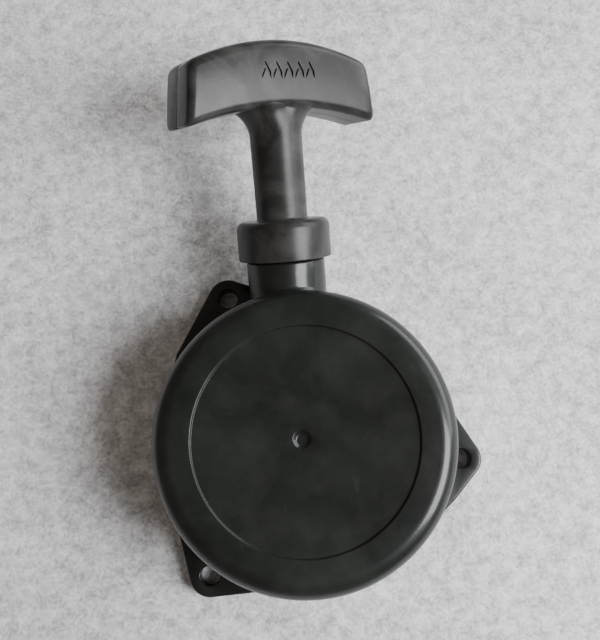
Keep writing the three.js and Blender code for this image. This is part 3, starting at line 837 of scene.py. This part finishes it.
def make_post_hardware():
    sleeve = turned_ring("bearing_sleeve", SLEEVE_BORE, SLEEVE_RADIUS, SLEEVE_LOW, SLEEVE_HIGH, [0.2] * 4)
    dress(sleeve, "case", ZINC, ["post_sleeve"], 40)
    edges = (0.15, 0.3, 0.1, 0.1)
    washer = turned_ring("stop_washer", STOP_BORE, STOP_RADIUS, STOP_LOW, STOP_HIGH, edges, segments=96)
    dress(washer, "case", ZINC, ["thrust_washer"], 40)
    flat = HEX_RADIUS * math.cos(math.radians(30))
    hexagon = [polar(flat if k % 2 else HEX_RADIUS, 30 * k) for k in range(12)]
    screw = plate("reel_screw", hexagon, 0.5, 3.3, edge=0.25)
    thread = []
    level = 6.0
    while level < POST_SCREW_END - 1:
        thread += [(POST_SCREW_RADIUS, level), (POST_SCREW_RADIUS - 0.35, level + 0.4)]
        level += 0.8
    seat = [(0, 2.7), (4.2, 2.7), (SEAT_RADIUS, 3.5, 0.2), (SEAT_RADIUS, 4, 0.15), (POST_SCREW_RADIUS, 4)]
    shank = [(POST_SCREW_RADIUS, 5.5)] + thread + [(1.6, POST_SCREW_END), (0, POST_SCREW_END)]
    collar = revolve("collar", fillet(seat, 4) + shank, DRUM, 48)
    recess = revolve("recess", [(0, -1), (2.7, -1), (2.2, 1.1), (0, 1.1)], DRUM, 40)
    combine(screw, [collar])
    cut(screw, [recess])
    dress(screw, "case", ZINC, ["centre_screw"], 35)
    ring = sweep("drag_spring", helix(8.4, 6.15, 6.9, 1.7), 0.32, 12)
    dress(ring, "guide", SPRING_STEEL, ["friction_spring"], 60)


# ------------ reel


def blind_hole(name, place, radii, lip, top):
    """Cutter from under the reel up to top, with radii at its start, at the lip and at its end."""
    mouth, neck, end = radii
    profile = [(0, REEL_CUT_LOW), (mouth, REEL_CUT_LOW), (neck, lip), (end, top), (0, top)]
    return revolve(name, profile, place, 40)


def make_reel():
    """Hub, groove and two flanges, with pockets for pawl springs and knot, and relief holes."""
    wheel = revolve("reel_moulding", fillet([
        (REEL_BORE, REEL_LOW, 0.3),
        (HUB_RADIUS + 2.2, REEL_LOW, 0.2),
        (HUB_RADIUS + 2.4, REEL_LOW + 0.35, 0.2),
        (REEL_RADIUS - 6, REEL_LOW + 0.35, 0.2),
        (REEL_RADIUS - 5.6, REEL_LOW, 0.2),
        (REEL_RADIUS - 3, REEL_LOW, 0.6),
        (REEL_RADIUS, REEL_LOW + 0.8, 0.4),
        (REEL_RADIUS, GROOVE_LOW - 1.2, 0.4),
        (GROOVE_RADIUS, GROOVE_LOW, 0.8),
        (GROOVE_RADIUS, GROOVE_HIGH, 0.8),
        (REEL_RADIUS, GROOVE_HIGH + 1.2, 0.4),
        (REEL_RADIUS, REEL_HIGH, 0.4),
        (HUB_RADIUS, REEL_HIGH, 0.8),
        (HUB_RADIUS, HUB_TOP, 0.3),
        (REEL_BORE, HUB_TOP, 0.3),
    ], 4, closed=True), DRUM, 192, closed=True)
    bore, bore_top = PIN_RADIUS + 0.3, 20.6
    pin_bore = [(0, REEL_CUT_LOW), (bore, REEL_CUT_LOW), (bore, bore_top), (0, bore_top)]
    cutters = []
    for bearing in PAWL_BEARINGS:
        place = upright(*polar(PAWL_PIVOT, bearing))
        cutters.append(blind_hole("pocket", place, (4.6, 4.3, 4.3), REEL_LOW + 0.4, 17))
        cutters.append(revolve("pin_bore", pin_bore, place, 32))
    knot_place = upright(0, KNOT_PITCH)
    cutters.append(blind_hole("knot_pocket", knot_place, (4.5, 4.2, 4.2), REEL_LOW + 0.4, 21))
    for bearing in RELIEF_BEARINGS:
        place = upright(*polar(RELIEF_PITCH, bearing))
        cutters.append(blind_hole("relief", place, (3.8, 3.6, 3.5), REEL_LOW + 0.3, 24))
    outwards = Matrix.Translation((0, 0, ROPE_HOLE_LEVEL * MM)) @ Matrix.Rotation(math.radians(-90), 4, "X")
    cutters.append(revolve("rope_hole", [(0, KNOT_PITCH), (2, KNOT_PITCH), (2, 23), (2.6, 24.2), (0, 24.2)],
                           outwards, 32))
    near, far = HUB_RADIUS - 1.7, HUB_RADIUS + 2.3
    slot = [(near, -0.8), (far, -0.8), (far, 0.8), (near, 0.8)]
    cutters.append(loft("slot", [[(x, y, z) for x, y in slot] for z in (HUB_TOP - 6, HUB_TOP + 2)]))
    cut(wheel, cutters)
    return dress(wheel, "reel", REEL_NYLON, ["rope_reel"], 30)


def make_winding():
    """Six turns of rope in three layers, going up and down the groove."""
    rows = (18.95, 22.15)
    layers = (25.45, 28.6, 31.8)
    path = []
    turns = len(rows) * len(layers)
    steps = 72
    level_share, change_share = 0.82, 0.18
    for i in range(turns * steps - 6):
        turn, share = divmod(i / steps, 1)
        shift = max(0.0, (share - level_share) / change_share)
        ease = shift * shift * (3 - 2 * shift)
        here, after = int(turn), min(int(turn) + 1, turns - 1)
        radius, level = (
            low + (high - low) * ease
            for low, high in (
                (layers[here // 2], layers[after // 2]),
                (rows[(here + here // 2) % 2], rows[(after + after // 2) % 2]),
            )
        )
        path.append((*polar(radius, 360 * share + 90), level))
    coil = sweep("rope_turns", path, ROPE_RADIUS - 0.02, 14)
    return dress(coil, "reel", ROPE, ["rope_winding"], 60)


def knot(name, radius, wire, place, body, node):
    """An overhand knot pulled tight, inside a ball of the given radius."""
    size = (radius - wire) / 3
    path = []
    for i in range(97):
        t = TAU * i / 96
        path.append((size * (math.sin(t) + 2 * math.sin(2 * t)), size * (math.cos(t) - 2 * math.cos(2 * t)),
                     -size * 1.9 * math.sin(3 * t)))
    tied = sweep(name, path, wire, 16, place)
    return dress(tied, body, ROPE, [node], 60)


def make_pawl_hardware():
    for number, bearing in enumerate(PAWL_BEARINGS, 1):
        centre = polar(PAWL_PIVOT, bearing)
        place = upright(*centre)
        pin = revolve("pin", fillet([
            (0, PIN_LOW),
            (1.2, PIN_LOW, 0.1),
            (PIN_RADIUS, PIN_LOW + 0.4, 0.15),
            (PIN_RADIUS, PIN_HIGH, 0.3),
            (0, PIN_HIGH),
        ], 4), place, 40)
        pin.name = f"pivot_pin_{number}"
        dress(pin, "reel", ZINC, [f"pawl_pin_{number}"], 40)
        coil = sweep(f"return_spring_{number}", helix(3.1, 14.5, 16.2, 2.5, centre=centre), 0.3, 10)
        dress(coil, "reel", SPRING_STEEL, [f"pawl_spring_{number}"], 60)


# ------------ pawls and ratchet guide


def make_pawls():
    line = arc((0, 0), PAWL_EYE, 0, 180, 20)
    line += [(-2.2, -PAWL_LENGTH * 0.62), (0.6, -PAWL_LENGTH), (2.8, -PAWL_LENGTH)]
    for number, (bearing, body) in enumerate(zip(PAWL_BEARINGS, ("pawl_a", "pawl_b")), 1):
        place = Matrix.Rotation(math.radians(bearing), 4, "Z") @ upright(PAWL_PIVOT, 0)
        eye = [circle(PIN_RADIUS + 0.3, 32)]
        lever = plate(f"ratchet_pawl_{number}", line, PAWL_LOW, PAWL_HIGH, eye, 0.3, place=place)
        nub = revolve("nub", fillet([
            (0, GUIDE_LOW - 0.2),
            (NUB_RADIUS, GUIDE_LOW - 0.2, 0.3),
            (NUB_RADIUS, PAWL_LOW + 1),
            (0, PAWL_LOW + 1),
        ], 4), place @ upright(*NUB), 32)
        combine(lever, [nub])
        dress(lever, body, STAMPED, [f"pawl_{number}"], 35)


def nub_track(share):
    """Where a pawl's nub stands in the guide's frame, from closed (0) to fully out (1)."""
    place = Matrix.Rotation(math.radians(share * PAWL_SWING), 2) @ NUB + Vector((PAWL_PIVOT, 0))
    return Matrix.Rotation(math.radians(-share * GUIDE_TURN), 2) @ place


def make_guide():
    """The moulded guide: a disc with two cam bites that push the pawls out, on a hub."""
    room = NUB_RADIUS + 0.45
    track = [nub_track(i / 8) for i in range(9)]
    spread = math.degrees(room / GUIDE_RADIUS)
    first = math.degrees(math.atan2(track[0].y, track[0].x)) + spread * 1.25
    last = math.degrees(math.atan2(track[-1].y, track[-1].x)) - spread * 1.15
    cam = [tuple(place.normalized() * (place.length - room)) for place in reversed(track)]
    bite = [polar(track[-1].length - room, last)] + cam + [polar(track[0].length - room, first)]
    line = []
    for bearing in PAWL_BEARINGS:
        turn = Matrix.Rotation(math.radians(bearing), 2)
        line += [tuple(turn @ Vector(point)) for point in bite]
        line += arc((0, 0), GUIDE_RADIUS, first + bearing, last + bearing + 180, 40)
    bore = [circle(REEL_BORE, 64)]
    disc = plate("guide_moulding", line, GUIDE_LOW, GUIDE_LOW + GUIDE_THICKNESS, bore, 0.3)
    hub = revolve("hub", fillet([
        (REEL_BORE, GUIDE_LOW + 0.3, 0.1),
        (HUB_RADIUS - 0.5, GUIDE_LOW + 0.3),
        (HUB_RADIUS, GUIDE_LOW + GUIDE_THICKNESS, 0.2),
        (HUB_RADIUS, REEL_LOW - 0.4, 0.3),
        (REEL_BORE, REEL_LOW - 0.4, 0.2),
    ], 4, closed=True), DRUM, 64, closed=True)
    combine(disc, [hub])
    return dress(disc, "guide", ACETAL, ["ratchet_guide"], 35)


# ------------ rope


def along_rope(distance):
    return MOUTH / MM + ROPE_AXIS * distance


def smooth_path(points, steps):
    """Catmull-Rom curve through the points."""
    points = [Vector(p) for p in points]
    points = [points[0] * 2 - points[1]] + points + [points[-1] * 2 - points[-2]]
    path = []
    for a, b, c, d in zip(points, points[1:], points[2:], points[3:]):
        for i in range(steps):
            t = i / steps
            path.append(0.5 * (2 * b + (c - a) * t + (2 * a - 5 * b + 4 * c - d) * t * t
                               + (3 * b - a - 3 * c + d) * t ** 3))
    return path + [points[-2]]


def make_lead():
    """The rope from the winding, through the eyelet and the handle, to the knot."""
    radius = 35.9
    turn_in = along_rope(-17)
    bearing = 90 + math.degrees(math.acos(radius / math.hypot(turn_in.x, turn_in.y)))
    start = Vector((*polar(radius, bearing), (GROOVE_LOW + GROOVE_HIGH) / 2))
    route = [start, start.lerp(turn_in, 0.4), start.lerp(turn_in, 0.78), along_rope(-15.6).lerp(start, 0.02),
             along_rope(-11)]
    route += [along_rope(distance) for distance in range(-8, 61, 4)] + [along_rope(62.5)]
    lead = sweep("rope_lead_braid", smooth_path(route, 8), ROPE_RADIUS, 20)
    dress(lead, None, LEAD_ROPE, [], 60)
    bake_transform(lead)
    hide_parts("rope_lead")


# ------------ handle


def bar_edge(x, end, middle):
    """Height of the bar's arched lower or upper line at x, from -1 to 1 along the bar."""
    return middle - (middle - end) * x * x


def bar_section(x, front, back, trim):
    """Cross-section of the bar at x (-1 to 1), drawn in at the front, back and both arches (trim)."""
    low = bar_edge(x, BAR_END_LOW, BAR_ARCH) + trim
    high = bar_edge(x, BAR_END_HIGH, BAR_TOP) - trim
    near, far = -BAR_THICKNESS / 2 + front, BAR_THICKNESS / 2 - back
    crown, seam, nick = 0.35, 0.2, 0.15
    middle = (low + high) / 2
    corners = [
        (near + crown, low, 2.9),
        (-seam, low),
        (0, low + nick),
        (seam, low),
        (far - crown, low, 2.2),
        (far, middle),
        (far - crown, high, 2.2),
        (seam, high),
        (0, high - nick),
        (-seam, high),
        (near + crown, high, 3.4),
        (near, middle),
    ]
    points = []
    for y, z in fillet(corners, 8, closed=True):
        share = (z - BAR_END_LOW) / (BAR_END_HIGH - BAR_END_LOW)
        half = (BAR_LOW_WIDTH + (BAR_HIGH_WIDTH - BAR_LOW_WIDTH) * min(share, 1.0)) / 2
        points.append((x * half, y, z))
    return points


def t_bar():
    """The arched bar, its ends rounded more at the front than at the back."""
    length, front, back, trim = 0.075, 2.6, 1.2, 1.3
    flat = 1 - length
    ends = []
    for angle in (90, 72, 54, 36, 18, 0):
        rise, run = 1 - math.sin(math.radians(angle)), 1 - math.cos(math.radians(angle))
        ends.append((length * rise, front * run, back * run, trim * run))
    stations = sorted({(-1 + along, *insets) for along, *insets in ends})
    inner = [(-flat + 2 * flat * i / 48, 0, 0, 0) for i in range(1, 48)]
    mirrored = [(-x, *insets) for x, *insets in reversed(stations)]
    return loft("t_bar", [bar_section(*station) for station in stations + inner + mirrored], HANDLE)


def stem_and_collar():
    profile = fillet([
        (0, 0),
        (COLLAR_RADIUS, 0, 0.35),
        (COLLAR_RADIUS, COLLAR_HEIGHT, 2.8),
        (STEM_RADIUS, COLLAR_HEIGHT, 0.8),
        (STEM_TOP_RADIUS, FLARE_LOW),
        (STEM_TOP_RADIUS, STEM_END),
        (0, STEM_END),
    ], 9)
    return revolve("stem", profile, HANDLE, 128)


def flare_spread(height, radius, low):
    """How far a concave round of this radius, starting at low, has spread at a height."""
    rise = min(max(height - low, 0), radius)
    return radius - math.sqrt(radius ** 2 - rise ** 2)


def stem_flare():
    """Where the stem spreads into the underside of the bar: widely along it, and a little across it."""
    top, buried, widest, squeeze = 51.6, 54, 8.0, 1.7
    rings = []
    for i in range(31):
        height = FLARE_LOW + (top - FLARE_LOW) * i / 30
        along = min(flare_spread(height, FLARE, FLARE_LOW), widest)
        across = flare_spread(height, FRONT_FLARE, FRONT_FLARE_LOW)
        ring = []
        for k in range(128):
            a = TAU * k / 128
            reach = STEM_TOP_RADIUS - 0.02 + along * abs(math.cos(a)) ** squeeze + across
            ring.append((reach * math.cos(a), reach * math.sin(a), height))
        rings.append(ring)
    rings.append([(x * 0.85, y * 0.85, buried) for x, y, _ in rings[-1]])
    return loft("flare", rings, HANDLE)


def parting_nick(side):
    """Cutter for the mould's parting line down one end of the bar."""
    low, high = BAR_LOW_WIDTH / 2, BAR_HIGH_WIDTH / 2
    rings = []
    for height, half in ((BAR_END_LOW - 0.5, low), (BAR_END_HIGH + 0.5, high)):
        inner, outer = side * (half - 0.16), side * (half + 1)
        wedge = [(inner, 0.03), (inner, -0.03), (outer, -0.9), (outer, 0.9)]
        rings.append([(*point, height) for point in wedge])
    return loft("nick", rings, HANDLE)


def chevron(x):
    """Cutter for one shallow chevron that points along the pull."""
    reach, rise, stroke, foot = 1.65, 3.4, 2.3, 59.4
    line = [(x - reach, foot), (x, foot + rise), (x + reach, foot), (x + reach, foot + stroke),
            (x, foot + rise + stroke), (x - reach, foot + stroke)]
    front = -BAR_THICKNESS / 2
    rings = []
    for y, grow in ((front - 0.3, 1.05), (front + 0.7, 0.95)):
        middle = foot + (rise + stroke) / 2
        rings.append([(x + (px - x) * grow, y, middle + (pz - middle) * grow) for px, pz in line])
    return loft("chevron", rings, HANDLE)


def make_handle():
    grip = t_bar()
    combine(grip, [stem_and_collar(), stem_flare()])
    bore = revolve("bore", [
        (0, -1),
        (ROPE_BORE + 0.8, -1),
        (ROPE_BORE, 0.8),
        (ROPE_BORE, POCKET_FLOOR + 1),
        (0, POCKET_FLOOR + 1),
    ], HANDLE, 32)
    pocket = revolve("pocket", fillet([
        (0, POCKET_FLOOR),
        (POCKET_RADIUS, POCKET_FLOOR, 0.6),
        (POCKET_RADIUS, 80),
        (0, 80),
    ]), HANDLE, 64)
    marks = [chevron(1.1 + spacing * 4.1) for spacing in (-2, -1, 0, 1, 2)]
    cut(grip, [bore, pocket] + marks + [parting_nick(side) for side in (-1, 1)])
    grip.name = "handle_moulding"
    dress(grip, "handle", HANDLE_NYLON, ["handle_grip"], 34)
    seat = POCKET_FLOOR + 0.3
    edges = (0.2, 0.2, 0.3, 0.3)
    washer = turned_ring("knot_seat_washer", ROPE_BORE, 5.6, seat, seat + 1.2, edges, HANDLE, steps=4)
    dress(washer, "rope_end", ZINC, ["knot_washer"], 40)


# ------------ camera, light and floor


def make_camera():
    """Above the drum, tipped a little towards the handle."""
    eye = Vector((-5.634, -5.275, 279.431)) * MM
    tip, roll, yaw = -0.1827, 0.0135, 0.1055
    turn = Matrix.Rotation(tip, 3, "X") @ Matrix.Rotation(roll, 3, "Y") @ Matrix.Rotation(yaw, 3, "Z")
    data = bpy.data.cameras.new("camera")
    data.sensor_width = 36
    data.lens = 42.0
    data.clip_start = 0.01
    camera = add_object("camera", data)
    camera.matrix_world = Matrix.Translation(eye) @ turn.transposed().to_4x4()
    bpy.context.scene.camera = camera


def area_light(name, place, target, size, power, colour=(1, 1, 1)):
    data = bpy.data.lights.new(name, "AREA")
    data.shape = "RECTANGLE"
    data.size, data.size_y = size
    data.energy = power
    data.color = colour
    light = add_object(name, data)
    light.location = place
    light.rotation_euler = (Vector(target) - Vector(place)).to_track_quat("-Z", "Y").to_euler()


def make_lights():
    """A window to the right and a little in front, a low bright strip further off, and a dim warm room."""
    subject = (0, 0.03, 0.02)
    area_light("window", (0.68, -0.22, 0.70), subject, (0.5, 0.5), 17.0, (1.0, 1.0, 1.03))
    area_light("low_strip", (1.10, 0.50, 0.42), subject, (1.3, 0.55), 15.0, (0.96, 0.98, 1.0))
    world = bpy.data.worlds.new("room")
    world.use_nodes = True
    background = world.node_tree.nodes["Background"]
    background.inputs["Color"].default_value = (1.0, 0.88, 0.77, 1)
    background.inputs["Strength"].default_value = 0.21
    bpy.context.scene.world = world


def make_floor():
    """A pale worn worktop: cloudy stains, small pits and a fine tooth."""
    bpy.ops.mesh.primitive_plane_add(size=6, location=(0, 0, 0))
    floor = bpy.context.object
    floor.name = "floor"
    paint = Shader("floor_grey")
    cloud = paint.noise(22, detail=5, rough=0.6, distortion=0.5)
    stain = paint.noise(190, detail=7, rough=0.74, distortion=0.3)
    tooth = paint.noise(760, detail=4, rough=0.75)
    mottle = paint.maths("ADD", paint.maths("MULTIPLY", stain, 0.55), paint.maths("MULTIPLY", tooth, 0.3))
    mottle = paint.maths("ADD", mottle, paint.maths("MULTIPLY", cloud, 0.15))
    pale = paint.ramp(mottle, (0.38, 0.38, 0.39), (0.97, 0.97, 0.99), 0.39, 0.60)
    pits = paint.ramp(paint.noise(430, detail=3, rough=0.6, distortion=0.6), 0.0, 0.5, 0.60, 0.70)
    paint.feed("Base Color", paint.blend(pits, pale, (0.40, 0.385, 0.36)))
    paint.set(Roughness=0.72)
    paint.bump((tooth, 0.25), (stain, 0.3))
    floor.data.materials.append(paint.material)


make_camera()
make_lights()
make_floor()
make_case()
make_eyelet()
make_cassette()
make_cassette_screws()
make_recoil_spring()
make_post_hardware()
make_reel()
make_winding()
knot("reel_end_knot", 3.2, 1.25, Matrix.Translation(Vector((0, KNOT_PITCH, 17.5)) * MM), "reel", "reel_knot")
make_pawl_hardware()
make_pawls()
make_guide()
make_lead()
make_handle()
knot("handle_end_knot", 4.2, 1.6, NECK @ Matrix.Translation((0, 0, 67.1 * MM)), "rope_end", "handle_knot")
